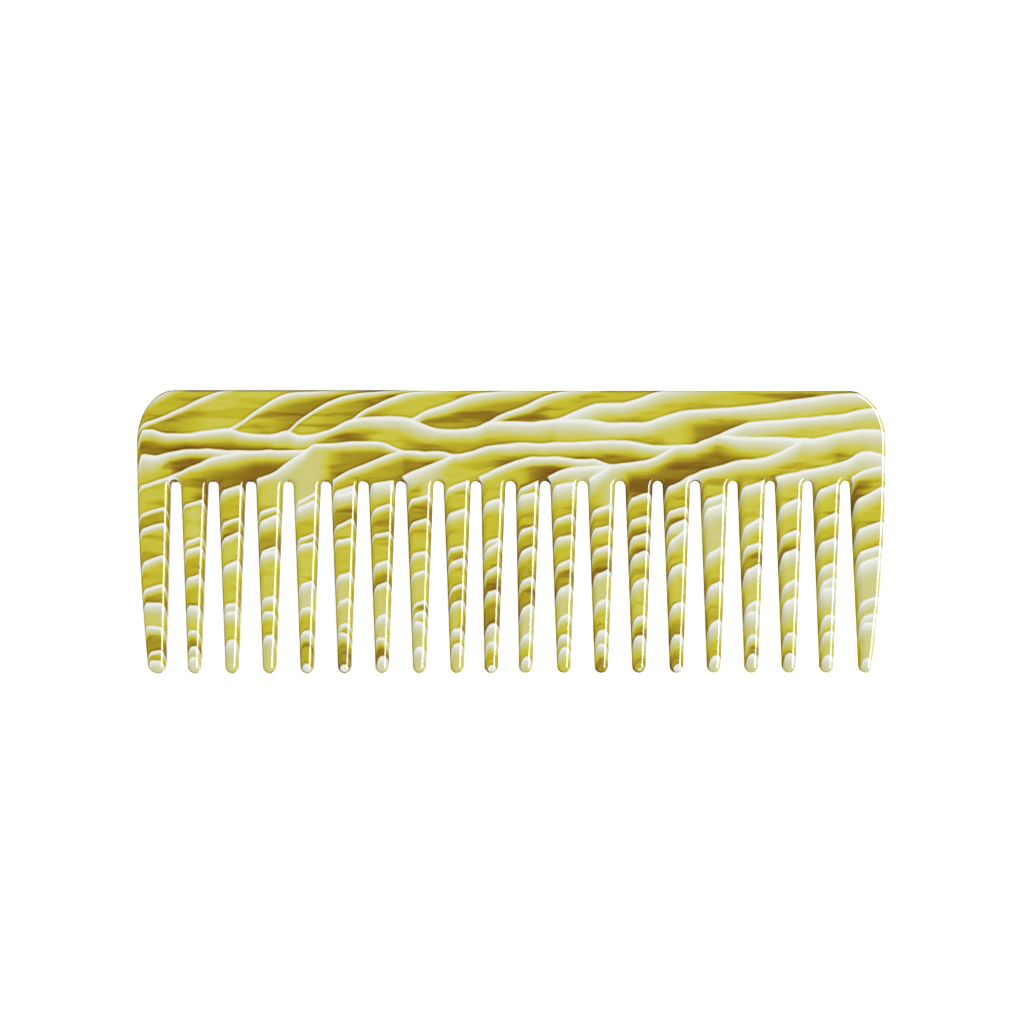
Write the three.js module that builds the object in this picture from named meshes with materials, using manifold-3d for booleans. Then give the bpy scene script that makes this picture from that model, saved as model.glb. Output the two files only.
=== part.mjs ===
// A wide tooth comb, lying flat: +X along its length, +Y towards its back, +Z out of its upper face.
// It is sawn from one sheet of marbled acetate, so every tooth joins the back face to face.
import * as THREE from 'three';
import { mergeVertices } from 'three/addons/utils/BufferGeometryUtils.js';
import Module from 'manifold-3d';

// Driving dimensions, in millimetres
const combLength = 150;
const combHeight = 56.7;
const sheetThickness = 4;
const roundingReach = 1.3; // how far the polished edge reaches in from the outline
const roundingDrop = 1.7; // and how far down from a face

const cornerWidth = 7.6; // the two upper corners are quarter ellipses
const cornerHeight = 10.4;
const leftEndRadius = 460; // both ends bow outwards
const rightEndRadius = 355;

const rootDepth = 19.32; // from the top edge down to the centre of each gap's round root
const rootRadius = 0.95;
const neckY = 9; // the line along which the teeth join the back

const gapsPerSide = 9; // on each side of the middle gap
const middleGapX = -0.2;
const middlePitch = 6.92; // the two teeth beside the middle gap are narrower
const middleLean = -0.4; // and their tips sit a little further left
const pitch = 7.505;

const toothTipRadius = 1.45;
const leftGuardTipRadius = 1.95;
const rightGuardTipRadius = 1.37;

// Mesh fineness
const arcDivisions = 3;
const roundingSteps = 3;

const marbledAcetate = { color: 0xc9c480, roughness: 0.16, metalness: 0 };

const topY = combHeight / 2;
const tipY = -combHeight / 2;
const endX = combLength / 2;
const cornerY = topY - cornerHeight;
const rootY = topY - rootDepth;

const wasm = await Module();
wasm.setup();

// Centres of the gaps' round roots, from left to right
function gapRoots() {
  const roots = [];
  for (let step = -gapsPerSide; step <= gapsPerSide; step++) {
    const outwards = step === 0 ? 0 : middlePitch + pitch * (Math.abs(step) - 1);
    roots.push({ x: middleGapX + Math.sign(step) * outwards, y: rootY, radius: rootRadius });
  }
  return roots;
}

// A guard tooth's tip circle touches the bowed end from inside: side is -1 on the left, 1 on the right.
// The bow's centre is level with the foot of the corner, where the end is widest.
function guardTip(side, radius, endRadius) {
  const y = tipY + radius;
  const bowCentreX = side * (endX - endRadius);
  const bowAngle = Math.asin((cornerY - y) / (endRadius - radius));
  const x = bowCentreX + side * (endRadius - radius) * Math.cos(bowAngle);
  return { x, y, radius, bowCentreX, bowAngle };
}

// Centres of the teeth's round tips, from left to right
function toothTips(roots) {
  const tips = [guardTip(-1, leftGuardTipRadius, leftEndRadius)];
  for (let i = 0; i < roots.length - 1; i++) {
    const besideMiddle = i === gapsPerSide - 1 || i === gapsPerSide;
    const x = (roots[i].x + roots[i + 1].x) / 2 + (besideMiddle ? middleLean : 0);
    tips.push({ x, y: tipY + toothTipRadius, radius: toothTipRadius });
  }
  tips.push(guardTip(1, rightGuardTipRadius, rightEndRadius));
  return tips;
}

// Direction, seen from a gap's root, in which its straight flank touches the root's circle.
// The flank is the inner tangent of the root's and the tip's circles: side is -1 for the tooth on
// the left of the gap and 1 for the one on its right.
function flankAngle(root, tip, side) {
  const dx = tip.x - root.x;
  const dy = tip.y - root.y;
  const open = Math.acos((root.radius + tip.radius) / Math.hypot(dx, dy));
  return Math.atan2(dy, dx) + side * open;
}

// The comb's outline, anticlockwise from the left end of its top edge
function combOutline(roots, tips) {
  const outline = new THREE.Shape();
  const first = tips[0];
  const last = tips[tips.length - 1];
  outline.moveTo(cornerWidth - endX, topY);
  outline.absellipse(cornerWidth - endX, cornerY, cornerWidth, cornerHeight, Math.PI / 2, Math.PI);
  outline.absarc(first.bowCentreX, cornerY, leftEndRadius, Math.PI, Math.PI + first.bowAngle);
  let tipStart = Math.PI + first.bowAngle;
  roots.forEach((root, i) => {
    const leftFlank = flankAngle(root, tips[i], -1);
    const rightFlank = flankAngle(root, tips[i + 1], 1);
    outline.absarc(tips[i].x, tips[i].y, tips[i].radius, tipStart, leftFlank + Math.PI);
    outline.absarc(root.x, root.y, root.radius, leftFlank, rightFlank, true);
    tipStart = rightFlank + Math.PI;
  });
  outline.absarc(last.x, last.y, last.radius, tipStart, -last.bowAngle);
  outline.absarc(last.bowCentreX, cornerY, rightEndRadius, -last.bowAngle, 0);
  outline.absellipse(endX - cornerWidth, cornerY, cornerWidth, cornerHeight, 0, Math.PI / 2);
  return outline;
}

// The whole sheet cut to the outline, with its edges rounded on both faces
function combBlank(outline) {
  const geometry = new THREE.ExtrudeGeometry(outline, {
    depth: sheetThickness - 2 * roundingDrop,
    bevelThickness: roundingDrop,
    bevelSize: roundingReach,
    bevelOffset: -roundingReach,
    bevelSegments: roundingSteps,
    curveSegments: arcDivisions,
  });
  return geometry.translate(0, 0, roundingDrop);
}

function toSolid(geometry) {
  const bare = geometry.clone();
  bare.deleteAttribute('normal');
  bare.deleteAttribute('uv');
  const merged = mergeVertices(bare);
  return new wasm.Manifold(
    new wasm.Mesh({
      numProp: 3,
      vertProperties: new Float32Array(merged.attributes.position.array),
      triVerts: new Uint32Array(merged.index.array),
    }),
  );
}

function toGeometry(solid) {
  const mesh = solid.getMesh();
  const geometry = new THREE.BufferGeometry();
  geometry.setAttribute('position', new THREE.BufferAttribute(mesh.vertProperties, 3));
  geometry.setIndex(new THREE.BufferAttribute(mesh.triVerts, 1));
  geometry.computeVertexNormals();
  return geometry;
}

// The part of the blank between two lines across its length and two along it
function cutOut(blank, left, right, bottom, top) {
  const block = new THREE.BoxGeometry(right - left, top - bottom, 2 * sheetThickness);
  block.translate((left + right) / 2, (bottom + top) / 2, sheetThickness / 2);
  return toGeometry(blank.intersect(toSolid(block)));
}

function addPiece(name, geometry) {
  const piece = new THREE.Mesh(geometry, new THREE.MeshStandardMaterial(marbledAcetate));
  piece.name = name;
  comb.add(piece);
}

function toothName(index, count) {
  if (index === 0) return 'guard_tooth_left';
  if (index === count - 1) return 'guard_tooth_right';
  return `tooth_${String(index + 1).padStart(2, '0')}`;
}

const comb = new THREE.Group();
comb.name = 'wide_tooth_comb';

const roots = gapRoots();
const tips = toothTips(roots);
const blank = toSolid(combBlank(combOutline(roots, tips)));

addPiece('back', cutOut(blank, -combLength, combLength, neckY, combHeight));

const divisions = [-combLength, ...roots.map((root) => root.x), combLength];
tips.forEach((tip, i) => {
  const tooth = cutOut(blank, divisions[i], divisions[i + 1], -combHeight, neckY);
  addPiece(toothName(i, tips.length), tooth);
});

export default comb;
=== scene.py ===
import math

import bpy
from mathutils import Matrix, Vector


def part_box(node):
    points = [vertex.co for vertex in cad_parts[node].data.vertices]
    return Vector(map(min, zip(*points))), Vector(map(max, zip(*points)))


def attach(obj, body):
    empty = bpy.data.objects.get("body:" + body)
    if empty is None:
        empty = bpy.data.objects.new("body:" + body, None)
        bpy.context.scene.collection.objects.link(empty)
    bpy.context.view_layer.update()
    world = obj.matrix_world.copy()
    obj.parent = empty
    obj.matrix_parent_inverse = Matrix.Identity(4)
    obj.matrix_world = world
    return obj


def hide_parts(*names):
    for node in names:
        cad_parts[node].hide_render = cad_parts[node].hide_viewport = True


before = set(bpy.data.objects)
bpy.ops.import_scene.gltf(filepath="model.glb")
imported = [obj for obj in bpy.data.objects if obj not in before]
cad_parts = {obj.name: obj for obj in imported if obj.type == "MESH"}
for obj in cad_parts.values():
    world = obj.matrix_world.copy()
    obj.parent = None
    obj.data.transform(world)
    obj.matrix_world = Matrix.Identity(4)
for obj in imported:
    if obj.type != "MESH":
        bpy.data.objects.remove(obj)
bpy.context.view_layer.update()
print("frame loaded:", len(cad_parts), "nodes")

mm = 0.001
combBody = "root"
backNode = "back"
toothNodes = sorted((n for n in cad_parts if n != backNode), key=lambda n: sum(c.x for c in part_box(n)))

# the shape of the sawn and polished sheet, in millimetres
combShape = {
    "cornerWidth": 7.6,
    "cornerHeight": 10.4,
    "leftEndBow": 460.0,       # radius of the bowed ends
    "rightEndBow": 355.0,
    "rootRadius": 0.95,
    "rootRise": 0.03,          # centre of a gap's round root, above the line where the teeth join the back
    "toothTip": 1.45,
    "leftGuardTip": 1.95,
    "rightGuardTip": 1.37,
    "middleLean": -0.4,        # the tips of the two middle teeth sit a little further left
    "roundingReach": 1.33,     # how far the polished edge reaches in from the outline
    "roundingDepth": 1.85,     # and how far down from the face
    "arcStep": math.radians(5),
    "flankStep": 1.5,          # between outline points on flanks and bowed ends
    "profileSteps": 12,        # in each half of the polished edge's section
    "samePlace": 1e-6,
    "weldDigits": 5,
}


def direction(angle):
    return Vector((math.cos(angle), math.sin(angle)))


def arc(centre, radius, start, end, hollow=False):
    # points and outward normals; a hollow arc is the wall of a gap, so its normals point to its centre
    steps = max(2, math.ceil(abs(end - start) / combShape["arcStep"]))
    radii = radius if isinstance(radius, tuple) else (radius, radius)
    made = []
    for i in range(steps + 1):
        a = start + (end - start) * i / steps
        out = Vector((math.cos(a) / radii[0], math.sin(a) / radii[1])).normalized()
        place = Vector((centre[0] + radii[0] * math.cos(a), centre[1] + radii[1] * math.sin(a)))
        made.append((place, -out if hollow else out))
    return made


def bowedEnd(centre, radius, start, end):
    # a long shallow arc, with points as far apart as on a flank
    count = max(2, math.ceil(abs(end - start) * radius / combShape["flankStep"]))
    around = [direction(start + (end - start) * i / count) for i in range(count + 1)]
    return [(Vector(centre) + radius * out, out) for out in around]


def straight(start, end):
    # the points between two outline points, which all have the line's own normal
    span = end[0] - start[0]
    count = max(1, round(span.length / combShape["flankStep"]))
    normal = Vector((span.y, -span.x)).normalized()
    return [(start[0] + span * i / count, normal) for i in range(1, count)]


def joined(parts):
    # one chain of outline points, with straight runs between parts that don't touch
    chain = list(parts[0])
    for part in parts[1:]:
        if (part[0][0] - chain[-1][0]).length > combShape["samePlace"]:
            chain += straight(chain[-1], part[0])
            chain += part
        else:
            chain += part[1:]
    return chain


def flankAngle(root, rootRadius, tip, tipRadius, side):
    # the direction in which a gap's root touches the straight flank of the tooth on that side
    reach = tip - root
    return math.atan2(reach.y, reach.x) + side * math.acos((rootRadius + tipRadius) / reach.length)


def flankTop(root, angle):
    # where a gap's round root runs into a flank
    out = direction(angle)
    return [(root + combShape["rootRadius"] * out, -out)]


def guardTip(side, radius, bow, layout):
    # the round tip that touches the bowed end from inside, with the bow's centre and the angle they share
    y = layout["tipY"] + radius
    angle = math.asin((layout["cornerY"] - y) / (bow - radius))
    bowX = side * (layout["endX"] - bow)
    return Vector((bowX + side * (bow - radius) * math.cos(angle), y)), (bowX, layout["cornerY"]), angle


def combLayout():
    # driving places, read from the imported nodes, in millimetres
    low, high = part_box(backNode)
    boxes = [[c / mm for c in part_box(n)] for n in toothNodes]
    layout = {
        "neckY": low.y / mm,
        "endX": high.x / mm,
        "tipY": min(b[0].y for b in boxes),
        "thickness": (high.z - low.z) / mm,
        "cornerY": high.y / mm - combShape["cornerHeight"],
    }
    rootY = layout["neckY"] + combShape["rootRise"]
    layout["roots"] = [Vector(((a[1].x + b[0].x) / 2, rootY)) for a, b in zip(boxes[:-1], boxes[1:])]
    return layout


def combChains(layout):
    # the outline, anticlockwise, cut at the neck line: one chain for each tooth, one for each gap's root,
    # and one round the back
    shape, roots, cornerY = combShape, layout["roots"], layout["cornerY"]
    leftTip, leftBow, leftAngle = guardTip(-1, shape["leftGuardTip"], shape["leftEndBow"], layout)
    rightTip, rightBow, rightAngle = guardTip(1, shape["rightGuardTip"], shape["rightEndBow"], layout)
    innerY = layout["tipY"] + shape["toothTip"]
    tips = [Vector(((a.x + b.x) / 2, innerY)) for a, b in zip(roots[:-1], roots[1:])]
    tips = [leftTip] + tips + [rightTip]
    last = len(tips) - 1
    for middle in (last // 2, last // 2 + 1):
        tips[middle].x += shape["middleLean"]
    radii = [shape["leftGuardTip"]] + [shape["toothTip"]] * (last - 1) + [shape["rightGuardTip"]]
    r = shape["rootRadius"]
    leftOf = [flankAngle(g, r, tips[i], radii[i], -1) for i, g in enumerate(roots)]
    rightOf = [flankAngle(g, r, tips[i + 1], radii[i + 1], 1) for i, g in enumerate(roots)]
    leftNeck = math.pi + math.asin((cornerY - layout["neckY"]) / shape["leftEndBow"])
    rightNeck = -math.asin((cornerY - layout["neckY"]) / shape["rightEndBow"])

    teeth = []
    for i, tip in enumerate(tips):
        if i == 0:
            start = math.pi + leftAngle
            down = bowedEnd(leftBow, shape["leftEndBow"], leftNeck, start)
        else:
            start = rightOf[i - 1] + math.pi
            down = flankTop(roots[i - 1], rightOf[i - 1])
        if i == last:
            end = 2 * math.pi - rightAngle
            up = bowedEnd(rightBow, shape["rightEndBow"], -rightAngle, rightNeck)
        else:
            end = leftOf[i] + math.pi
            up = flankTop(roots[i], leftOf[i])
        if end < start:
            end += 2 * math.pi
        teeth.append(joined([down, arc(tip, radii[i], start, end), up]))

    gapRoots = []
    for root, start, end in zip(roots, leftOf, rightOf):
        if start < 0:
            start += 2 * math.pi
        gapRoots.append(arc(root, r, start, end, hollow=True))

    corner = (shape["cornerWidth"], shape["cornerHeight"])
    cornerX = layout["endX"] - shape["cornerWidth"]
    top = joined([
        bowedEnd(rightBow, shape["rightEndBow"], rightNeck, 0),
        arc((cornerX, cornerY), corner, 0, math.pi / 2),
        arc((-cornerX, cornerY), corner, math.pi / 2, math.pi),
        bowedEnd(leftBow, shape["leftEndBow"], math.pi, leftNeck),
    ])
    return teeth, gapRoots, top


def column(point, normal, thickness):
    # the polished edge's profile at one outline point, from the upper face down to the lower one
    steps = combShape["profileSteps"]
    reach, depth = combShape["roundingReach"], combShape["roundingDepth"]
    half = thickness / 2
    made = []
    for side in (1, -1):
        turns = range(steps + 1) if side > 0 else range(steps, -1, -1)
        for i in turns:
            q = math.pi / 2 * i / steps
            place = point - normal * (reach * (1 - math.sin(q)))
            z = half + side * (half - depth + depth * math.cos(q))
            lean = Vector((math.sin(q) / reach, math.cos(q) / depth)).normalized()
            out = normal * lean.x
            made.append((Vector((place.x, place.y, z)), Vector((out.x, out.y, side * lean.y))))
    return made


class Piece:
    # gathers shared points and their normals, and the faces with how each is shaded
    def __init__(self, thickness):
        self.thickness = thickness
        self.points = []
        self.normals = []
        self.faces = []
        self.found = {}

    def vertex(self, place, normal):
        key = tuple(round(c, combShape["weldDigits"]) for c in place)
        if key not in self.found:
            self.found[key] = len(self.points)
            self.points.append(place * mm)
            self.normals.append(normal)
        return self.found[key]

    def edgeStrip(self, chain):
        profiles = [column(point, normal, self.thickness) for point, normal in chain]
        columns = [[self.vertex(*p) for p in profile] for profile in profiles]
        for a, b in zip(columns[:-1], columns[1:]):
            for i in range(len(a) - 1):
                self.faces.append(([a[i], a[i + 1], b[i + 1], b[i]], "side"))
        return columns

    def flats(self, columns):
        self.faces.append(([c[0] for c in columns], "up"))
        self.faces.append(([c[-1] for c in reversed(columns)], "down"))

    def neckCap(self, first, last, facing):
        ring = list(first) + list(reversed(last))
        self.faces.append((ring if facing > 0 else ring[::-1], "cap"))

    def build(self, name):
        mesh = bpy.data.meshes.new(name)
        mesh.from_pydata([tuple(p) for p in self.points], [], [f for f, _ in self.faces])
        mesh.validate()
        fixed = {"up": Vector((0, 0, 1)), "down": Vector((0, 0, -1))}
        cornerNormals = []
        for polygon, (_, kind) in zip(mesh.polygons, self.faces):
            polygon.use_smooth = True
            for v in polygon.vertices:
                flat = polygon.normal if kind == "cap" else fixed.get(kind)
                cornerNormals.append(tuple(flat if flat is not None else self.normals[v]))
        mesh.normals_split_custom_set(cornerNormals)
        made = bpy.data.objects.new(name, mesh)
        bpy.context.scene.collection.objects.link(made)
        return made


def buildTooth(node, chain, thickness):
    piece = Piece(thickness)
    columns = piece.edgeStrip(chain)
    piece.flats(columns)
    piece.neckCap(columns[0], columns[-1], -1)
    made = piece.build("polished_" + node)
    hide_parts(node)
    return made


def buildBack(topChain, gapRoots, thickness):
    piece = Piece(thickness)
    topColumns = piece.edgeStrip(topChain)
    rootColumns = [piece.edgeStrip(c) for c in gapRoots]
    piece.flats(topColumns + [c for columns in rootColumns for c in columns])
    rootEnds = [c for columns in rootColumns for c in (columns[0], columns[-1])]
    ends = [topColumns[-1]] + rootEnds + [topColumns[0]]
    for left, right in zip(ends[0::2], ends[1::2]):
        piece.neckCap(left, right, 1)
    made = piece.build("polished_back")
    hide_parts(backNode)
    return made


layout = combLayout()
toothChains, gapRoots, topChain = combChains(layout)
pieces = [buildTooth(node, chain, layout["thickness"]) for node, chain in zip(toothNodes, toothChains)]
pieces.append(buildBack(topChain, gapRoots, layout["thickness"]))
print("comb built:", len(pieces), "pieces")

# the marbling: each vein is the edge of a thin cast layer, as (x, y) in millimetres on the upper face;
# its fade is (x, length, depth): how far below the edge the milk white deepens, and how deep it gets
marbling = {
    "spanX": 160.0,            # what the curves of the veins cover, in millimetres
    "spanY": 2400.0,
    "layerDip": 2.3,           # how far the layers shift along the sheet for each millimetre of depth
    "dipAtTop": 0.5,           # less so along the top edge
    "dipEases": (18.0, 27.0),
    "fadeReach": 0.85,         # share of a stated fade length over which the white really deepens
    "fadeBlend": 0.25,         # how softly a fade settles at its full depth
    "milkCore": 0.18,          # width of the pure white along a vein
    "upperEdge": 0.4,          # width of a vein's sharp upper edge
    "darkLine": 0.25,          # how much deeper the colour is just above a vein
    "darkLineReach": 0.9,
    "darkLineColours": (0.45, 0.9),     # depths between which the dark line comes in
    "waver": 0.12,             # how far a vein strays from its own points
    "waverScale": 0.25,
    "waverDetail": 1.0,
    "firstDepth": 1.0,         # of the colour above the topmost vein
    "meetingReach": 1.2,       # how near another vein a vein's end counts as meeting it
    "runTogether": 4,          # how far it then follows that vein
    "meetingBlend": 0.3,       # fade stops this close before the meeting give way to the shared fade
    "veinEnd": 0.8,            # over which a vein thins out to nothing
    "pastEnd": 0.05,           # where its curve then drops out of reach
    "streakDepth": 0.14,       # fine grain along the casting's flow
    "streakTurn": -20.0,
    "streakScale": (0.12, 0.9, 1.0),
    "streakDetail": 3.0,
    "smoke": 0.4,              # extra depth in the brown streaks between veins
    "smokeTurn": -12.0,
    "smokeScale": (0.07, 0.42, 1.0),
    "smokePlace": (4.0, 9.0, 0.0),
    "smokeDetail": 2.0,
    "smokeEdge": (0.5, 0.66),  # from clear to smoky in the noise
    "smokeColours": (0.5, 0.95),        # depths between which the smoke comes in
    "slopeDeepening": 0.45,    # painted shade: how much deeper the side walls are coloured, standing in for light that passes farther through the sheet
    "paintedSlopeShadeEdge": (0.8, 0.3),   # how upright the surface's normal is where the painted shade starts and where it is full
}

backVeins = [
    {"line": [(-76, 20.2), (-74.3, 21), (-70, 22.6), (-65, 24.9), (-60, 27.2), (-55, 29.5), (-45, 33),
              (-30, 38)],
     "fade": [(-72, 0.9, 1.1), (-66, 1.2, 0.95), (-60, 1.8, 0.72)]},
    {"line": [(-76, 16.5), (-74.7, 18), (-73.5, 20.2), (-72, 20.2), (-70, 19.6), (-66, 19.3), (-62, 19.8),
              (-56.5, 20.4), (-54, 19.7), (-50, 19.3), (-47, 19.4), (-44.7, 20), (-43, 19.3), (-41, 19),
              (-38, 19.7), (-35, 20.8), (-33, 21.8), (-31.5, 22.2), (-26, 22.8), (-23, 22.8),
              (-20.5, 22.4), (-17, 21), (-15, 20.5), (-12, 20.2), (-9, 20.3), (-7, 20.7), (-4, 21.8),
              (0, 21.8), (3, 21.7), (6, 21.9), (9, 22.3), (13, 24), (17, 25.4), (22, 25.5), (25, 26.3),
              (30, 28.2), (36, 29.4), (48, 31.6), (62, 34.5), (76, 37)],
     "fade": [(-72, 2.4, 1.3), (-65, 1.8, 1.4), (-58, 2.8, 1.5), (-50, 2.2, 1.5), (-44, 4, 1.0),
              (-36, 1.6, 1.1), (-31, 3, 0.95), (-24, 4.5, 0.75), (-20, 5.2, 1.0), (-12, 2.9, 1.0),
              (-4, 4, 1.1), (4, 4.4, 0.9), (12, 7, 0.65), (20, 3.8, 0.8), (28, 4.5, 0.8)]},
    {"line": [(-56.5, 20.2), (-54, 21.8), (-52, 23.2), (-50, 24.5), (-47, 26.4), (-44, 27.6), (-40, 28),
              (-36, 28.6), (-28, 30.4), (-15, 33.5), (2, 38)],
     "fade": [(-52, 0.9, 0.75), (-48, 1.9, 0.95), (-44, 2.4, 1.2), (-39, 1.7, 1.3)]},
    {"line": [(-44.7, 19.8), (-43, 21.5), (-41, 23), (-38, 25), (-35, 26.3), (-31, 27.4), (-27, 28),
              (-22, 28.8), (-12, 31), (0, 33.6), (18, 38)],
     "fade": [(-40, 0.8, 0.8), (-36, 1.4, 0.92), (-32, 1.5, 1.05), (-28, 1.4, 1.2)]},
    {"line": [(-32, 22.0), (-30, 23.7), (-27, 25.2), (-24, 26.5), (-20, 27.8), (-14, 28.8), (-4, 31),
              (10, 34), (26, 38)],
     "fade": [(-28, 1.2, 1.1), (-24, 2, 0.85), (-20, 2, 0.8)]},
    {"line": [(-20.5, 22.2), (-17, 24), (-13, 25.3), (-10, 26.6), (-7, 27.4), (-4, 27.9), (2, 28.8),
              (12, 31), (25, 34), (40, 38)],
     "fade": [(-16, 2.2, 0.95), (-12, 3, 1.0), (-8, 3, 1.1)]},
    {"line": [(-5, 21.3), (-3, 22.8), (0, 24), (3, 25.2), (6, 26.6), (9, 27.7), (14, 28.8), (24, 31),
              (38, 34), (52, 38)],
     "fade": [(0, 1.6, 1.2), (4, 2.5, 1.2), (8, 2.2, 0.85)]},
    {"line": [(8.5, 21.9), (12, 22.2), (14.5, 22.2), (17, 21.9), (20, 21.6), (24, 21.6), (27, 21.8),
              (30, 22.8), (33, 23.6), (36, 24.1), (40, 24.3), (45, 24.7), (50, 25.2), (55, 26),
              (60, 26.6), (65, 27.4), (70, 27.7), (76, 28.5)],
     "fade": [(9, 5.4, 0.75), (16, 5, 0.75), (28, 4.6, 0.85), (32, 4.4, 0.72), (37, 3.2, 1.25),
              (43, 2.9, 1.4), (48, 3.6, 0.7), (58, 5, 0.7), (68, 4.3, 0.8)]},
    {"line": [(-76, 13), (-74.5, 14), (-73.5, 15.3), (-71, 15.1), (-68, 15.7), (-65, 16.2), (-62, 16.4),
              (-58, 16.2), (-52, 16), (-44, 16.1), (-41, 16.2), (-39.5, 17)],
     "fade": [(-72, 6, 0.8), (-68, 2, 0.85), (-64, 1.8, 1.4), (-58, 2.6, 1.4), (-52, 2.9, 1.4),
              (-47, 2.3, 1.5), (-42, 2.6, 0.6)]},
    {"line": [(-76, 8.2), (-73, 9.3), (-70, 10.3), (-67, 11.4), (-63, 13.2), (-60, 14.4), (-56, 15.4),
              (-51, 15.8)],
     "fade": [(-72, 1.0, 0.75), (-64, 1.5, 0.85), (-60, 2.5, 1.1), (-55, 3, 1.4)]},
    {"line": [(-76, 2.6), (-71, 4.4), (-63, 5.7), (-56, 8.6), (-51.3, 10.2), (-49, 11), (-47, 12),
              (-45, 13.5), (-43, 14.8), (-41, 16), (-39.5, 17.2), (-36, 17.4), (-30, 17.9), (-27, 17.8),
              (-24, 17), (-21.5, 16), (-17, 15.8), (-14, 15.8), (-11, 15.2), (-8, 15.9), (-5, 16.8),
              (-2, 17.3), (10, 17.6), (20, 18), (23, 17.9), (26, 17.3), (33, 17), (36, 17.3), (38, 18),
              (40, 18.7), (44, 20.5), (47, 21.5), (50, 21.9), (57, 22.4), (62, 22.9), (66, 23.3),
              (69, 24.1), (71.5, 24.4), (76, 24.4)],
     "fade": [(-71, 0.9, 1.1), (-63, 0.8, 0.62), (-56, 2.5, 0.9), (-49, 2.2, 0.7), (-44, 6, 0.6),
              (-40, 2.6, 0.55), (-36, 1.8, 0.85), (-31, 2, 1.2), (-20, 1.7, 1.3), (-14, 1.7, 1.2),
              (-8, 2.2, 0.75), (0, 2.8, 1.1), (20, 3, 1.3), (36, 2.8, 1.4), (42, 3.6, 1.3),
              (48, 5, 0.65), (58, 3.4, 0.75), (70, 4.6, 0.65)]},
    {"line": [(40.8, 19), (44, 18.9), (48, 18.7), (57, 18.6), (60, 18.3), (63, 18.9), (66, 19.7),
              (70, 20.2), (76, 20)],
     "fade": [(44, 3.8, 1.5), (48, 4.4, 0.9), (60, 5.5, 0.75), (65, 4.2, 0.95), (72, 6, 0.6)]},
]

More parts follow.
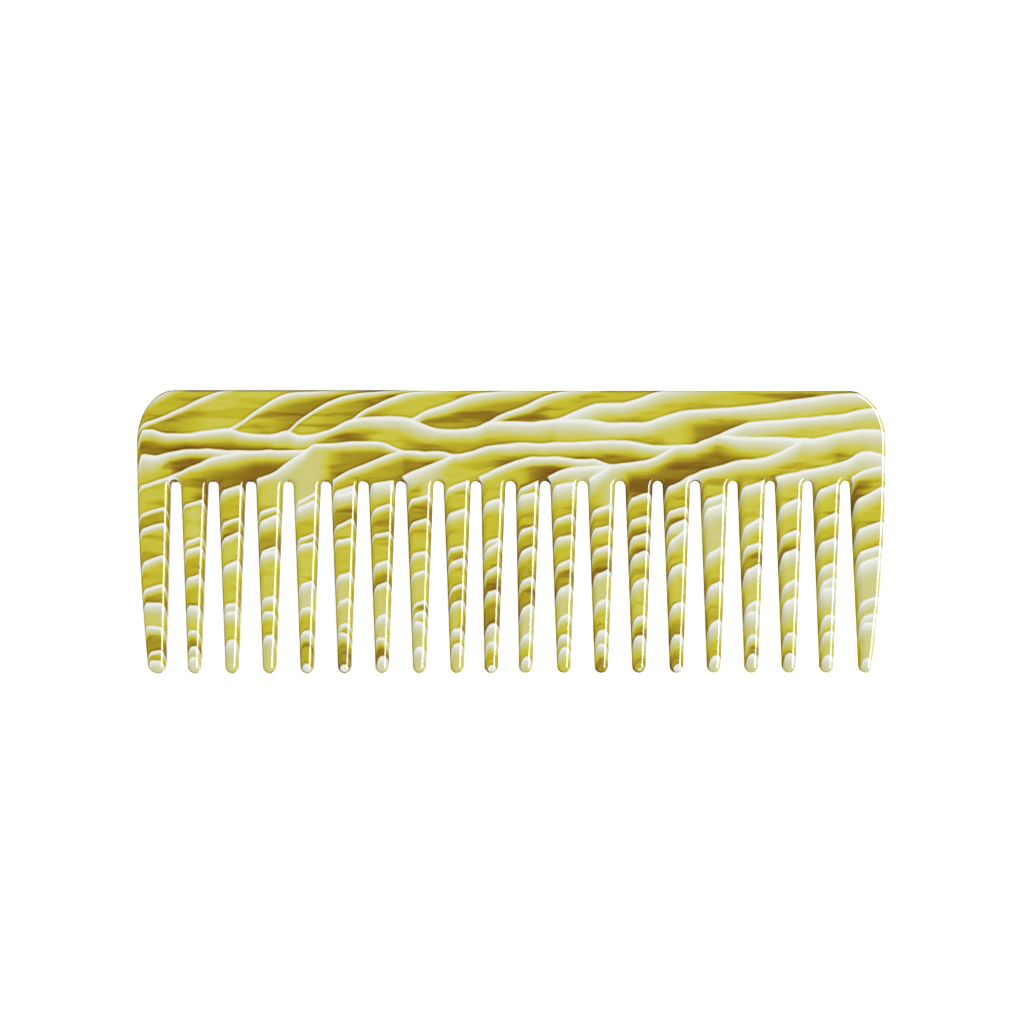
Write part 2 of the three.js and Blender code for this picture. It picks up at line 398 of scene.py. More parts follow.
toothVeins = [
    {"line": [(-76, -0.6), (-71, 1.3), (-67.5, 2)], "fade": [(-71, 1.9, 0.8)]},
    {"line": [(-76, -7.5), (-71, -5.3), (-63, -3.3), (-56, -0.8), (-48, 2.9), (-41, 5.5), (-33, 8.6),
              (-26, 9.7), (-23, 10.4), (-20, 11.8), (-17, 12.9), (-14, 14.2), (-11.5, 15.1)],
     "fade": [(-71, 2.2, 0.85), (-63, 2.3, 1.0), (-56, 1.8, 0.72), (-48, 3.8, 1.1), (-41, 4.6, 0.85),
              (-30, 6, 0.8), (-20, 5.5, 0.9), (-16, 5, 0.5), (-12, 2.4, 0.75)]},
    {"line": [(-67, -2.4), (-63, -1.5), (-56, 2.1), (-48, 4.5), (-41, 6.7), (-36, 9.9), (-33, 11.8),
              (-30, 13.1), (-24, 15.4), (-21.5, 15.9)],
     "fade": [(-63, 1.5, 0.8), (-56, 1.0, 1.0), (-48, 1.3, 0.9), (-36, 1.5, 0.9), (-28, 2.3, 1.0),
              (-22, 2.2, 1.1)]},
    {"line": [(-37, 7), (-33, 7.7), (-29.5, 8.2)], "fade": [(-33, 3.6, 1.2)]},
    {"line": [(-76, -12.5), (-71, -10.9), (-63, -8.9), (-56, -6.4), (-48, -3.5), (-41, -1), (-33, 1.8),
              (-26, 4.9), (-18, 6.8), (-11, 9.2), (-7, 10.6), (-5, 11.5), (-3, 12.5), (0, 13.7),
              (3, 14.5), (6, 14.8), (9, 14.8), (14, 14.3), (16, 14.5), (18, 13.8), (20, 13.2),
              (22, 13.5), (25, 13.8), (28, 14.5), (30, 15.5), (33, 16.9)],
     "fade": [(-71, 1.7, 1.1), (-63, 3.2, 0.9), (-56, 3.8, 0.75), (-48, 1.5, 0.8), (-33, 1, 0.75),
              (-26, 1.7, 0.95), (-18, 1.2, 1.1), (-11, 1.9, 0.8), (0, 2.4, 0.8), (4, 2.4, 1.3),
              (9, 2, 1.5), (14, 2.3, 1.2), (20, 4, 0.5), (24, 2.4, 1.3), (28, 2.9, 1.35), (33, 3, 1.3)]},
    {"line": [(-52, -5), (-48, -4.2), (-41, -2.5), (-33, -1.5), (-26, -0.4), (-18, 2.2), (-11, 4),
              (-4, 6.1), (3, 7.4), (10, 9.4), (15, 10.2), (17, 11.5), (20, 13)],
     "fade": [(-48, 3, 0.7), (-41, 2.3, 0.72), (-33, 1.9, 0.8), (-26, 1.2, 0.8), (-18, 1.6, 0.8),
              (-11, 3.2, 0.8), (-4, 3.8, 0.85), (10, 5.5, 0.9), (16, 6, 0.8), (20, 4, 0.5)]},
    {"line": [(-0.5, 8), (3, 9), (5.5, 10.2), (8, 11.3), (10, 12.2), (13, 12.9), (20, 13)],
     "fade": [(3, 1.5, 0.7), (8, 2.4, 0.8), (13, 5, 0.6), (20, 4, 0.5)]},
    {"line": [(-76, -14), (-71, -14.3), (-63, -14.8), (-56, -14.4), (-48, -13), (-41, -10.3),
              (-33, -8.4), (-26, -6.2), (-18, -4.2), (-11, -3.1), (-4, -1.7), (3, 0.6), (10, 2.8),
              (18, 4.7), (25, 7), (33, 9.6), (35, 10.8), (38, 12), (42, 13.3), (46, 14.1), (50, 14.6),
              (53, 15.6), (56, 17.2), (58, 18.2)],
     "fade": [(-71, 3.6, 0.62), (-63, 5, 0.7), (-56, 2.5, 0.7), (-48, 2.8, 0.8), (-41, 4.4, 0.45),
              (-33, 3, 0.6), (-26, 2.6, 1.2), (-18, 1.9, 0.7), (-11, 1.5, 0.78), (3, 1.8, 1.0),
              (18, 1.9, 0.95), (33, 2.4, 0.9), (40, 3.2, 0.78), (46, 3.5, 0.8), (52, 4, 0.9),
              (57, 5.5, 0.75)]},
    {"line": [(-59.5, -16), (-56, -15.9), (-48, -16), (-41, -15.2), (-33, -13.4), (-26, -10.5),
              (-18, -7.9), (-11, -5.8), (-4, -3), (-0.5, -1.2)],
     "fade": [(-56, 4.2, 0.72), (-48, 2.5, 0.85), (-41, 2, 0.85), (-33, 2, 0.6), (-18, 2, 0.63),
              (-10, 2.3, 0.8), (-4, 2.6, 0.85)]},
    {"line": [(-76, -24.8), (-71, -23.9), (-63, -23), (-56, -21.7), (-48, -20.7), (-41, -19.8),
              (-33, -18.4), (-26, -16.8), (-18, -14), (-11, -10.9), (-4, -7.5), (3, -3.5), (10, -1.1),
              (18, 0.8), (25, 2.6), (33, 4.5), (40, 6.8), (48, 9.3), (52, 10.7), (55, 11.4), (60, 12.4),
              (64, 13.2), (67, 14.3), (69, 15.6), (71, 15.9), (73.5, 15.4), (76, 15)],
     "fade": [(-71, 0.9, 0.85), (-63, 2.6, 0.6), (-56, 7, 0.5), (-48, 3.4, 0.55), (-41, 3.2, 0.95),
              (-33, 1.3, 0.8), (-26, 3.8, 0.55), (-18, 0.9, 0.8), (-11, 1.1, 1.0), (-4, 1.9, 1.15),
              (3, 3, 1.0), (10, 3, 0.85), (18, 2.3, 0.8), (25, 2.1, 1.3), (33, 2.3, 1.0),
              (48, 4.4, 0.7), (64, 3.8, 0.8), (70, 7, 0.7)]},
    {"line": [(-76, -18.4), (-71, -18.9), (-63, -19.8), (-59.5, -20.2)],
     "fade": [(-71, 2.3, 1.2), (-63, 1.8, 1.2)]},
    {"line": [(-21.7, -17), (-18, -15.9), (-11, -14), (-4, -11.9), (3, -9.4), (10, -6.2), (18, -3.2),
              (25, -0.9), (33, 1.7), (40, 4.9), (44, 6.2)],
     "fade": [(-18, 2.5, 0.8), (-11, 2.8, 0.65), (-4, 2.5, 1.15), (10, 2.4, 1.05), (25, 2.5, 1.2),
              (33, 4, 0.7), (40, 7, 0.55)]},
    {"line": [(-37, -20), (-33, -20.4), (-26, -21.2), (-18, -23.1), (-11, -22.5), (-7.5, -22)],
     "fade": [(-33, 2.1, 1.15), (-26, 1.7, 1.05), (-18, 6, 0.45), (-11, 4, 0.58)]},
    {"line": [(-22, -17.6), (-18, -18.1), (-11, -19.3), (-4, -18.4), (3, -14.8), (10, -11.2),
              (18, -8.1), (25, -4.5), (33, -0.9), (37, 3)],
     "fade": [(-18, 4.4, 0.55), (-11, 3.4, 0.8), (-4, 4.4, 0.5), (10, 5, 0.55), (18, 3.4, 0.55),
              (25, 3.6, 0.8), (33, 5, 0.8)]},
    {"line": [(-7.4, -22.6), (-4, -22), (3, -20.5), (10, -17), (18, -13.8), (25, -9.9), (33, -6.8),
              (40, -4), (48, 1.9), (55.5, 5.9), (63, 8.9), (67.5, 10.7), (70, 12), (76, 13.5)],
     "fade": [(-4, 2.6, 0.85), (3, 3.8, 0.8), (10, 2, 0.8), (18, 3.2, 0.8), (25, 4.4, 0.7),
              (40, 4.2, 0.8), (55, 4.8, 0.75), (63, 3.2, 0.8), (68, 1.5, 1.3), (72, 3.5, 0.8)]},
    {"line": [(6.6, -21), (10, -20.6), (18, -19.8), (25, -17.1), (33, -14.3), (40, -10.6), (48, -7.2),
              (55.5, -3.9), (63, -1.7), (71, 1.1), (76, 2.8)],
     "fade": [(10, 3.6, 0.8), (18, 4.2, 0.7), (25, 2.7, 1.3), (33, 4.2, 1.1), (40, 5.2, 0.8),
              (55, 5.8, 0.65), (63, 5, 0.75), (71, 5, 0.9)]},
    {"line": [(44, -4.2), (48, -2.6), (55.5, -0.3), (63, 3), (71, 7.5), (76, 10)],
     "fade": [(48, 2.4, 1.05), (55, 2.5, 0.95), (63, 3.2, 0.9), (71, 4.6, 0.85)]},
    {"line": [(21.5, -21), (25, -20.9), (33, -20.7), (40, -18.2), (48, -14.2), (55.5, -10), (63, -6.6),
              (71, -3.6), (76, -1.8)],
     "fade": [(25, 4.6, 0.85), (33, 3.6, 1.05), (40, 6, 0.85), (48, 3.8, 0.7), (63, 4, 0.5),
              (71, 4.5, 0.6)]},
    {"line": [(44, -17), (48, -16.1), (55.5, -13.6), (63, -9.6), (71, -5.8), (76, -4.2)],
     "fade": [(48, 6, 0.6), (55, 8, 0.8), (63, 5, 0.6), (71, 8, 0.5)]},
    {"line": [(59.3, -12.2), (63, -11.3), (67, -10.4)], "fade": [(63, 8, 0.65)]},
    {"line": [(36.7, -25.6), (40, -25.1), (48, -20.6), (55.5, -20.3), (63, -16.7), (71, -13.5),
              (76, -11.5)],
     "fade": [(40, 6, 0.5), (48, 2.7, 1.1), (55, 3.6, 0.8), (63, 4, 0.8), (71, 4, 0.55)]},
    {"line": [(59.3, -20.6), (63, -20), (71, -16.7), (76, -15)], "fade": [(63, 4.4, 0.65)]},
    {"line": [(67, -19), (71, -18.3), (76, -17.2)], "fade": [(71, 5, 0.5)]},
    {"line": [(-76, -25.8), (-71, -25.8), (-63, -25.1), (-56, -31), (-48, -31), (-41, -26.4),
              (-33, -26.6), (-26, -25), (-18, -23.1), (-12, -31)],
     "fade": [(-71, 3.2, 0.6), (-63, 5, 0.4), (-41, 6, 0.4), (-18, 5, 0.45)]},
    {"line": [(-8, -27), (-4, -26.7), (3, -25.1), (10, -23.3), (18, -22.3), (25, -27.3), (33, -26.5),
              (40, -25.1), (48, -24.4), (55.5, -24.3), (63, -24.7), (71, -25.4), (76, -26)],
     "fade": [(-4, 5, 0.4), (3, 3.8, 0.65), (10, 3.5, 0.7), (18, 3.4, 1.2), (25, 4, 1.2), (33, 5, 0.5),
              (63, 6, 0.45)]},
]

# layers that reach the surface only on the rounded top edge and the lower face
buriedVeins = [
    {"line": [(-76, 24), (-66, 29.5), (-55, 34), (-45, 38)], "fade": [(-66, 2, 0.9)]},
    {"line": [(43, 30.6), (55, 30.4), (66, 30.8), (76, 31.5)], "fade": [(43, 4, 0.8), (60, 3, 1.0)]},
]

# the cast colours, from a vein's milky edge down to the deep honey below it
acetateColours = [
    (0.0, (240, 241, 236)), (0.12, (225, 227, 213)), (0.25, (216, 216, 186)), (0.5, (208, 205, 136)),
    (0.7, (207, 201, 78)), (0.85, (200, 190, 42)), (1.0, (187, 171, 34)), (1.2, (166, 145, 26)),
    (1.5, (140, 106, 19)), (2.0, (112, 77, 15)),
]

# the polished surface, in millimetres
polish = {
    "waverScale": 0.18,
    "waverDetail": 1.0,
    "waverHeight": 0.006,
    "hazeScale": 0.35,
    "hazeDetail": 3.0,
    "hazeRoughness": 0.05,
    "roughness": 0.13,
    "scratchTurn": 24.0,       # hairlines run slightly aslant to the comb's length
    "scratchScale": (0.35, 9.0, 1.0),
    "scratchDetail": 4.0,
    "scratchEdge": (0.62, 0.78),        # from smooth to scratched in the noise
    "scratchDepth": 0.0002,
    "scratchRoughness": 0.03,
    "baseIor": 1.5,
    "baseSpecular": 0.15,
    "coatIor": 1.6,
    "coatRoughness": 0.015,
}


def between(stops, x, part):
    # the value at x by straight lines between stops, and None beyond them
    for first, last in zip(stops[:-1], stops[1:]):
        if first[0] <= x <= last[0]:
            return first[part] + (last[part] - first[part]) * (x - first[0]) / (last[0] - first[0])
    return None


def heightAt(vein, x):
    return between(vein["line"], x, 1)


def liesAbove(upper, lower):
    # compares two veins' mean heights over the length that both of them run
    places = [x for x, _ in upper["line"] + lower["line"]]
    pairs = [(heightAt(upper, x), heightAt(lower, x)) for x in places]
    shared = [a - b for a, b in pairs if a is not None and b is not None]
    return bool(shared) and sum(shared) > 0


def veinMet(vein, end, veins):
    # the vein that this one's first or last point lies on
    x, y = vein["line"][end]
    crossing = [w for w in veins if w is not vein and heightAt(w, x) is not None]
    apart = {id(w): abs(heightAt(w, x) - y) for w in crossing}
    near = [w for w in crossing if apart[id(w)] < marbling["meetingReach"]]
    return min(near, key=lambda w: apart[id(w)]) if near else None


def shareFade(vein, other, x, farX, beyond):
    # gives both veins one fade between x and farX
    low, high = min(x, farX) - marbling["meetingBlend"], max(x, farX)
    for joining in (vein, other):
        kept = [f for f in joining["fade"] if not low <= f[0] <= high]
        joining["fade"] = sorted(kept + [(x, *beyond), (farX, *beyond)])


def grownTogether(veins):
    # where a vein ends on another one, it runs on along that vein a little, and both go on with one fade
    grown = [{"line": list(v["line"]), "fade": list(v["fade"])} for v in veins]
    for vein in grown:
        for end in (0, -1):
            other = veinMet(vein, end, grown)
            if other is None:
                continue
            x = vein["line"][end][0]
            side = -1 if end == 0 else 1
            ahead = [x + side * step for step in range(marbling["runTogether"] + 1)]
            shared = [(at, heightAt(other, at)) for at in ahead if heightAt(other, at) is not None]
            vein["line"] = sorted(shared + (vein["line"][1:] if end == 0 else vein["line"][:-1]))
            beyond = [f for f in other["fade"] if (f[0] < x if end == 0 else f[0] > x)]
            if beyond and liesAbove(other, vein):
                nearest = beyond[-1] if end == 0 else beyond[0]
                shareFade(vein, other, x, shared[-1][0], nearest[1:])
    return grown


def laidOrder(veins):
    # from the top down, as each layer covers the foot of the one above it
    waiting, laid = list(veins), []
    while waiting:
        free = [v for v in waiting if not any(liesAbove(w, v) for w in waiting if w is not v)]
        chosen = free[0] if free else max(waiting, key=lambda v: v["line"][0][1])
        waiting.remove(chosen)
        laid.append(chosen)
    return laid


def node(tree, kind, **settings):
    made = tree.nodes.new(kind)
    for name, value in settings.items():
        setattr(made, name, value)
    return made


def plug(tree, made, values):
    # each input is a number, a colour or another node's socket
    for name, value in values.items():
        if isinstance(value, bpy.types.NodeSocket):
            tree.links.new(value, made.inputs[name])
        else:
            made.inputs[name].default_value = value
    return made.outputs[0]


def maths(tree, operation, *values):
    return plug(tree, node(tree, "ShaderNodeMath", operation=operation), dict(enumerate(values)))


def eased(tree, value, edge, low=0.0, high=1.0):
    # goes smoothly from low to high as the value passes from one edge to the other
    made = node(tree, "ShaderNodeMapRange", interpolation_type="SMOOTHSTEP")
    return plug(tree, made, {"Value": value, "From Min": edge[0], "From Max": edge[1],
                             "To Min": low, "To Max": high})


def noise(tree, vector, scale, detail):
    made = node(tree, "ShaderNodeTexNoise")
    plug(tree, made, {"Vector": vector, "Scale": scale, "Detail": detail})
    return made.outputs


def turned(tree, vector, turn, scale, place=(0.0, 0.0, 0.0)):
    made = node(tree, "ShaderNodeMapping")
    return plug(tree, made, {"Vector": vector, "Location": place, "Rotation": (0, 0, math.radians(turn)),
                             "Scale": scale})


def scaled(tree, vector, factor):
    made = node(tree, "ShaderNodeVectorMath", operation="SCALE")
    return plug(tree, made, {0: vector, "Scale": factor})


def vectorMaths(tree, operation, first, second):
    made = node(tree, "ShaderNodeVectorMath", operation=operation)
    return plug(tree, made, {0: first, 1: second})


def curveAlong(tree, x, points, scale):
    # a float curve through points given in millimetres, where x is 0 to 1 with the comb's middle at 0.5
    made = node(tree, "ShaderNodeFloatCurve")
    made.mapping.extend = "HORIZONTAL"
    made.mapping.use_clip = False
    curve = made.mapping.curves[0]
    placed = [(px / marbling["spanX"] + 0.5, scale(py)) for px, py in points]
    curve.points[0].location, curve.points[-1].location = placed[0], placed[-1]
    for place in placed[1:-1]:
        curve.points.new(*place)
    for i, point in enumerate(curve.points):
        atEnd = i < 2 or i > len(placed) - 3
        point.handle_type = "VECTOR" if atEnd else "AUTO_CLAMPED"
    made.mapping.update()
    return plug(tree, made, {"Value": x})


def fadeAlong(tree, x, fade, part, scale):
    # a fade's length or depth: one value, or a curve where it changes along the vein
    if len(fade) == 1:
        return scale(fade[0][part])
    return curveAlong(tree, x, [(stop[0], stop[part]) for stop in fade], scale)


def veinLayer(tree, x, height, vein, above):
    # lays this vein's fade over the colour depth above it, and says how near the vein's own edge a point is
    line, fade, span = vein["line"], vein["fade"], marbling["spanY"]
    core, thin, past = marbling["milkCore"], marbling["veinEnd"], marbling["pastEnd"]
    outline = [(line[0][0] - past, -span / 2)] + line + [(line[-1][0] + past, -span / 2)]
    coreEdge = curveAlong(tree, x, outline, lambda y: (y - core) / span + 0.5)
    below = maths(tree, "SUBTRACT", coreEdge, height)
    length = fadeAlong(tree, x, fade, 1, lambda mmLong: mmLong * marbling["fadeReach"] / span)
    depth = fadeAlong(tree, x, fade, 2, lambda deep: deep)
    fresh = maths(tree, "SMOOTH_MIN", maths(tree, "DIVIDE", below, length), depth, marbling["fadeBlend"])
    fresh = maths(tree, "MAXIMUM", fresh, 0.0)
    ends = [(line[0][0], 0), (line[0][0] + thin, 1), (line[-1][0] - thin, 1), (line[-1][0], 0)]
    there = curveAlong(tree, x, ends, lambda share: share)
    edge = eased(tree, below, (-(core + marbling["upperEdge"]) / span, -core / span))
    covers = maths(tree, "MULTIPLY", edge, there)
    change = maths(tree, "SUBTRACT", fresh, above)
    return maths(tree, "MULTIPLY_ADD", covers, change, above), maths(tree, "ABSOLUTE", below)


def layeredDepth(tree, x, height):
    # how deep the colour is after all the layers, and how near the closest vein is
    depth, near = marbling["firstDepth"], 1.0
    for vein in laidOrder(grownTogether(backVeins + toothVeins + buriedVeins)):
        depth, edgeDistance = veinLayer(tree, x, height, vein, depth)
        near = maths(tree, "MINIMUM", edgeDistance, near)
    return depth, near


def wavered(tree, inMm):
    # the veins aren't quite straight between their points
    shifts = noise(tree, inMm, marbling["waverScale"], marbling["waverDetail"])["Color"]
    centred = vectorMaths(tree, "SUBTRACT", shifts, (0.5, 0.5, 0.5))
    return vectorMaths(tree, "ADD", inMm, scaled(tree, centred, marbling["waver"] * 2))


def streaked(tree, place, depth):
    # fine grain along the casting's flow, and brown smoke where the colour is deep
    flow = turned(tree, place, marbling["streakTurn"], marbling["streakScale"])
    grain = noise(tree, flow, 1.0, marbling["streakDetail"])["Fac"]
    sway = marbling["streakDepth"]
    depth = maths(tree, "MULTIPLY", depth, maths(tree, "MULTIPLY_ADD", grain, sway * 2, 1 - sway))
    drift = turned(tree, place, marbling["smokeTurn"], marbling["smokeScale"], marbling["smokePlace"])
    wisps = noise(tree, drift, 1.0, marbling["smokeDetail"])["Fac"]
    smoke = eased(tree, wisps, marbling["smokeEdge"], 0.0, marbling["smoke"])
    return maths(tree, "MULTIPLY_ADD", smoke, eased(tree, depth, marbling["smokeColours"]), depth)


def darkLined(tree, near, depth):
    # a thin darker line just above each vein
    core, span = marbling["milkCore"], marbling["spanY"]
    reach = ((core + marbling["darkLineReach"]) / span, (core + marbling["upperEdge"]) / span)
    line = eased(tree, near, reach, 0.0, marbling["darkLine"])
    return maths(tree, "MULTIPLY_ADD", line, eased(tree, depth, marbling["darkLineColours"]), depth)


def paintSlopeShade(tree, normal, depth):
    # painted shade: the side walls get a deeper colour the further their normal leans from upright,
    # standing in for light that comes through a side wall from farther inside
    facing = node(tree, "ShaderNodeSeparateXYZ")
    plug(tree, facing, {"Vector": normal})
    upright = maths(tree, "ABSOLUTE", facing.outputs["Z"])
    paintedShade = eased(tree, upright, marbling["paintedSlopeShadeEdge"], 0.0, marbling["slopeDeepening"])
    return maths(tree, "ADD", depth, paintedShade)


def linear(value):
    share = value / 255
    return share / 12.92 if share <= 0.04045 else ((share + 0.055) / 1.055) ** 2.4


def castColour(tree, depth):
    # the cast colours as one ramp from milk to honey
    shade = node(tree, "ShaderNodeValToRGB")
    ramp = shade.color_ramp
    deepest = acetateColours[-1][0]
    while len(ramp.elements) > 1:
        ramp.elements.remove(ramp.elements[-1])
    for i, (at, color) in enumerate(acetateColours):
        stop = ramp.elements[0] if i == 0 else ramp.elements.new(at / deepest)
        stop.position = at / deepest
        stop.color = (*(linear(c) for c in color), 1)
    return plug(tree, shade, {"Fac": maths(tree, "MULTIPLY", depth, 1 / deepest)})


def polishMarks(tree, inMm):
    # what the tumbling leaves: a slow waver, cloudy patches of haze and fine hairline scratches
    waver = noise(tree, inMm, polish["waverScale"], polish["waverDetail"])["Fac"]
    haze = noise(tree, inMm, polish["hazeScale"], polish["hazeDetail"])["Fac"]
    aslant = turned(tree, inMm, polish["scratchTurn"], polish["scratchScale"])
    hairlines = noise(tree, aslant, 1.0, polish["scratchDetail"])["Fac"]
    worn = eased(tree, hairlines, polish["scratchEdge"])
    roughness = maths(tree, "MULTIPLY_ADD", haze, polish["hazeRoughness"], polish["roughness"])
    roughness = maths(tree, "MULTIPLY_ADD", worn, polish["scratchRoughness"], roughness)
    height = maths(tree, "MULTIPLY", waver, polish["waverHeight"] * mm)
    height = maths(tree, "MULTIPLY_ADD", worn, -polish["scratchDepth"] * mm, height)
    return roughness, height


def marblingAndSlopeShadeGroup():
    # the cast marbling, with painted shade on the side walls added to its colour
    tree = bpy.data.node_groups.new("castMarblingAndSlopeShade", "ShaderNodeTree")
    for name, kind in (("Position", "Vector"), ("Normal", "Vector"), ("Thickness", "Float")):
        tree.interface.new_socket(name, in_out="INPUT", socket_type="NodeSocket" + kind)
    for name, kind in (("Color", "Color"), ("Roughness", "Float"), ("Height", "Float")):
        tree.interface.new_socket(name, in_out="OUTPUT", socket_type="NodeSocket" + kind)
    given = node(tree, "NodeGroupInput")
    inMm = scaled(tree, given.outputs["Position"], 1 / mm)
    split = node(tree, "ShaderNodeSeparateXYZ")
    plug(tree, split, {"Vector": wavered(tree, inMm)})
    # the layers dip towards the teeth with depth, so a point shows what lies higher up on the face
    buried = maths(tree, "SUBTRACT", given.outputs["Thickness"], split.outputs["Z"])
    dip = eased(tree, split.outputs["Y"], marbling["dipEases"], marbling["layerDip"], marbling["dipAtTop"])
    onFace = maths(tree, "MULTIPLY_ADD", buried, dip, split.outputs["Y"])
    x = maths(tree, "MULTIPLY_ADD", split.outputs["X"], 1 / marbling["spanX"], 0.5)
    height = maths(tree, "MULTIPLY_ADD", onFace, 1 / marbling["spanY"], 0.5)
    place = plug(tree, node(tree, "ShaderNodeCombineXYZ"), {"X": split.outputs["X"], "Y": onFace})
    depth, near = layeredDepth(tree, x, height)
    depth = streaked(tree, place, depth)
    depth = darkLined(tree, near, depth)
    # painted shade on the side walls: deeper colour where the surface leans from upright
    depth = paintSlopeShade(tree, given.outputs["Normal"], depth)
    roughness, relief = polishMarks(tree, inMm)
    out = node(tree, "NodeGroupOutput")
    tree.links.new(castColour(tree, depth), out.inputs["Color"])
    tree.links.new(roughness, out.inputs["Roughness"])
    tree.links.new(relief, out.inputs["Height"])
    return tree


def acetateMaterial(thickness):
    material = bpy.data.materials.new("marbledAcetate")
    material.use_nodes = True
    tree = material.node_tree
    shader = tree.nodes["Principled BSDF"]
    coordinates = node(tree, "ShaderNodeTexCoord")
    marble = node(tree, "ShaderNodeGroup")
    marble.node_tree = marblingAndSlopeShadeGroup()
    plug(tree, marble, {"Position": coordinates.outputs["Object"], "Normal": coordinates.outputs["Normal"],
                        "Thickness": thickness})
    relief = node(tree, "ShaderNodeBump")
    plug(tree, relief, {"Strength": 1.0, "Distance": 1.0, "Height": marble.outputs["Height"]})
    plug(tree, shader, {"Base Color": marble.outputs["Color"], "Roughness": marble.outputs["Roughness"],
                        "Normal": relief.outputs["Normal"], "IOR": polish["baseIor"],
                        "Specular IOR Level": polish["baseSpecular"], "Coat Weight": 1.0,
                        "Coat IOR": polish["coatIor"], "Coat Roughness": polish["coatRoughness"]})
    return material


acetate = acetateMaterial(layout["thickness"])
for made in pieces:
    made.data.materials.append(acetate)
    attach(made, combBody)
print("material made")

# floor, lights and camera, in millimetres from the comb's centre
studio = {
    "cameraHeight": 300.0,
    "frameWidth": 205.25,      # what the camera sees across, halfway up the sheet
    "frameRise": 3.94,         # how far above the comb's centre the view is centred
    "filmWidth": 36.0,
    "floorSize": 4000.0,
    "floorGlow": 0.985,        # the floor as the camera sees it, so that it stays plain white
    "floorShadow": 0.03,
    "floorLight": 1.3,         # the light that it throws up at the comb
    "lightDistance": 1500.0,
    "skyTilt": 16.0,           # of the broad soft light, off the vertical, to the right
    "skySize": 1900.0,
    "skyRadiance": 1.35,
    "stripTilt": 42.0,         # of the strip light that the polished edges mirror
    "lightTurn": 10.0,         # of both, round towards the back
    "stripWidth": 800.0,
    "stripLength": 1700.0,
    "stripRadiance": 13.0,
    "rimTilt": 140.0,          # of the panel low on the right that only the right-hand walls mirror
    "rimSize": 3000.0,
    "rimRadiance": 2.4,
    "airLight": 0.62,          # the air round the comb lights it from all sides
    "airMirrored": 0.02,       # but overhead it is hardly mirrored,
    "horizonMirrored": 0.45,   # and more so along the horizon
    "horizonBand": (0.05, 0.7),
    "groundMirrored": 0.1,     # share of the horizon's brightness that is left below it
    "groundBand": (-0.1, 0.05),
}


def whiteFloor():
    # shows the camera a plain white with a trace of shadow, and lights the comb from below
    half = studio["floorSize"] / 2 * mm
    corners = [(-half, -half, 0), (half, -half, 0), (half, half, 0), (-half, half, 0)]
    mesh = bpy.data.meshes.new("floor")
    mesh.from_pydata(corners, [], [(0, 1, 2, 3)])
    floor = bpy.data.objects.new("floor", mesh)
    bpy.context.scene.collection.objects.link(floor)
    paper = bpy.data.materials.new("whitePaper")
    paper.use_nodes = True
    tree = paper.node_tree
    tree.nodes.remove(tree.nodes["Principled BSDF"])
    shown = plug(tree, node(tree, "ShaderNodeBsdfDiffuse"), {"Color": (*[studio["floorShadow"]] * 3, 1)})
    glow = plug(tree, node(tree, "ShaderNodeEmission"), {"Strength": studio["floorGlow"]})
    bounced = plug(tree, node(tree, "ShaderNodeEmission"), {"Strength": studio["floorLight"]})
    seen = plug(tree, node(tree, "ShaderNodeAddShader"), {0: shown, 1: glow})
    cameraRay = node(tree, "ShaderNodeLightPath").outputs["Is Camera Ray"]
    either = plug(tree, node(tree, "ShaderNodeMixShader"), {0: cameraRay, 1: bounced, 2: seen})
    tree.links.new(either, tree.nodes["Material Output"].inputs["Surface"])
    mesh.materials.append(paper)
    floor.visible_glossy = False
    floor.visible_shadow = False


def areaLight(name, tilt, turn, width, length, radiance):
    # a panel that faces the comb, placed by its degrees off the vertical and round from the right
    tilt, turn = math.radians(tilt), math.radians(turn)
    towards = Vector((math.sin(tilt) * math.cos(turn), math.sin(tilt) * math.sin(turn), math.cos(tilt)))
    data = bpy.data.lights.new(name, "AREA")
    data.shape = "RECTANGLE"
    data.size = width * mm
    data.size_y = length * mm
    data.energy = radiance * math.pi * data.size * data.size_y
    lamp = bpy.data.objects.new(name, data)
    lamp.location = towards * studio["lightDistance"] * mm
    lamp.rotation_euler = towards.to_track_quat("Z", "X").to_euler()
    bpy.context.scene.collection.objects.link(lamp)
    return lamp


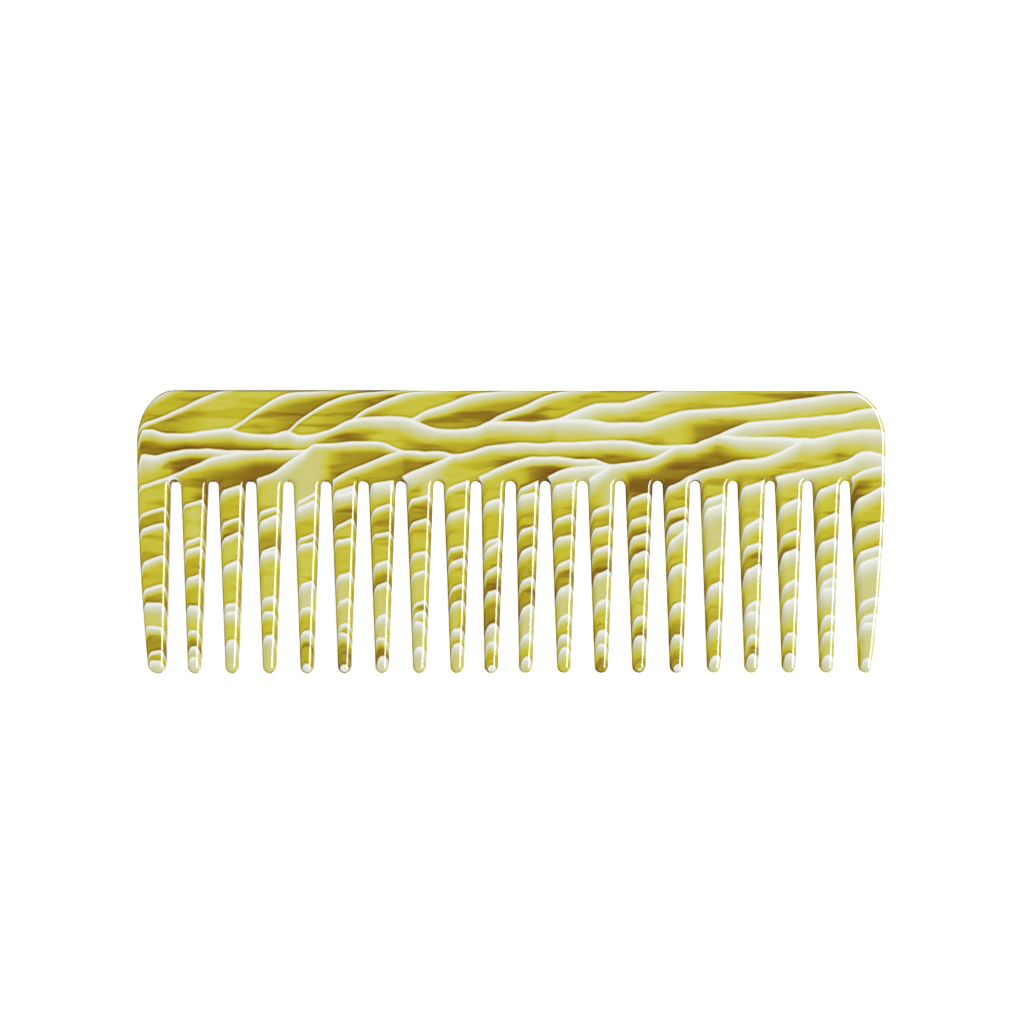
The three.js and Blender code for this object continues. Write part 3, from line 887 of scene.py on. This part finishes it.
def studioLights():
    # the broad light gives the colours, and the strip and the low panel only the gloss
    sky = areaLight("skyLight", studio["skyTilt"], studio["lightTurn"], studio["skySize"],
                    studio["skySize"], studio["skyRadiance"])
    sky.visible_glossy = False
    strip = areaLight("stripLight", studio["stripTilt"], studio["lightTurn"], studio["stripWidth"],
                      studio["stripLength"], studio["stripRadiance"])
    strip.visible_diffuse = False
    rim = areaLight("rimLight", studio["rimTilt"], 0, studio["rimSize"], studio["rimSize"],
                    studio["rimRadiance"])
    rim.visible_diffuse = False
    rim.visible_camera = False


def studioAir():
    # plain white for the camera, an even light for the comb, and a soft horizon in its gloss
    world = bpy.data.worlds.new("studioAir")
    world.use_nodes = True
    tree = world.node_tree
    path = node(tree, "ShaderNodeLightPath")
    towards = node(tree, "ShaderNodeSeparateXYZ")
    plug(tree, towards, {"Vector": node(tree, "ShaderNodeTexCoord").outputs["Generated"]})
    upwards = towards.outputs["Z"]
    overhead = eased(tree, upwards, studio["horizonBand"], studio["horizonMirrored"], studio["airMirrored"])
    ground = eased(tree, upwards, studio["groundBand"], studio["groundMirrored"], 1.0)
    mirrored = maths(tree, "MULTIPLY", overhead, ground)
    lit = plug(tree, node(tree, "ShaderNodeMapRange"), {"Value": path.outputs["Is Glossy Ray"],
                                                        "To Min": studio["airLight"], "To Max": mirrored})
    seen = plug(tree, node(tree, "ShaderNodeMapRange"), {"Value": path.outputs["Is Camera Ray"],
                                                         "To Min": lit, "To Max": 1.0})
    air = tree.nodes["Background"]
    air.inputs["Color"].default_value = (1, 1, 1, 1)
    tree.links.new(seen, air.inputs["Strength"])
    bpy.context.scene.world = world


def overheadCamera(thickness):
    data = bpy.data.cameras.new("camera")
    data.sensor_width = studio["filmWidth"]
    reach = studio["cameraHeight"] - thickness / 2
    data.lens = studio["filmWidth"] * reach / studio["frameWidth"]
    camera = bpy.data.objects.new("camera", data)
    camera.location = Vector((0, studio["frameRise"], studio["cameraHeight"])) * mm
    bpy.context.scene.collection.objects.link(camera)
    bpy.context.scene.camera = camera


whiteFloor()
studioLights()
studioAir()
overheadCamera(layout["thickness"])
bpy.context.scene.view_settings.view_transform = "Standard"
print("studio ready")
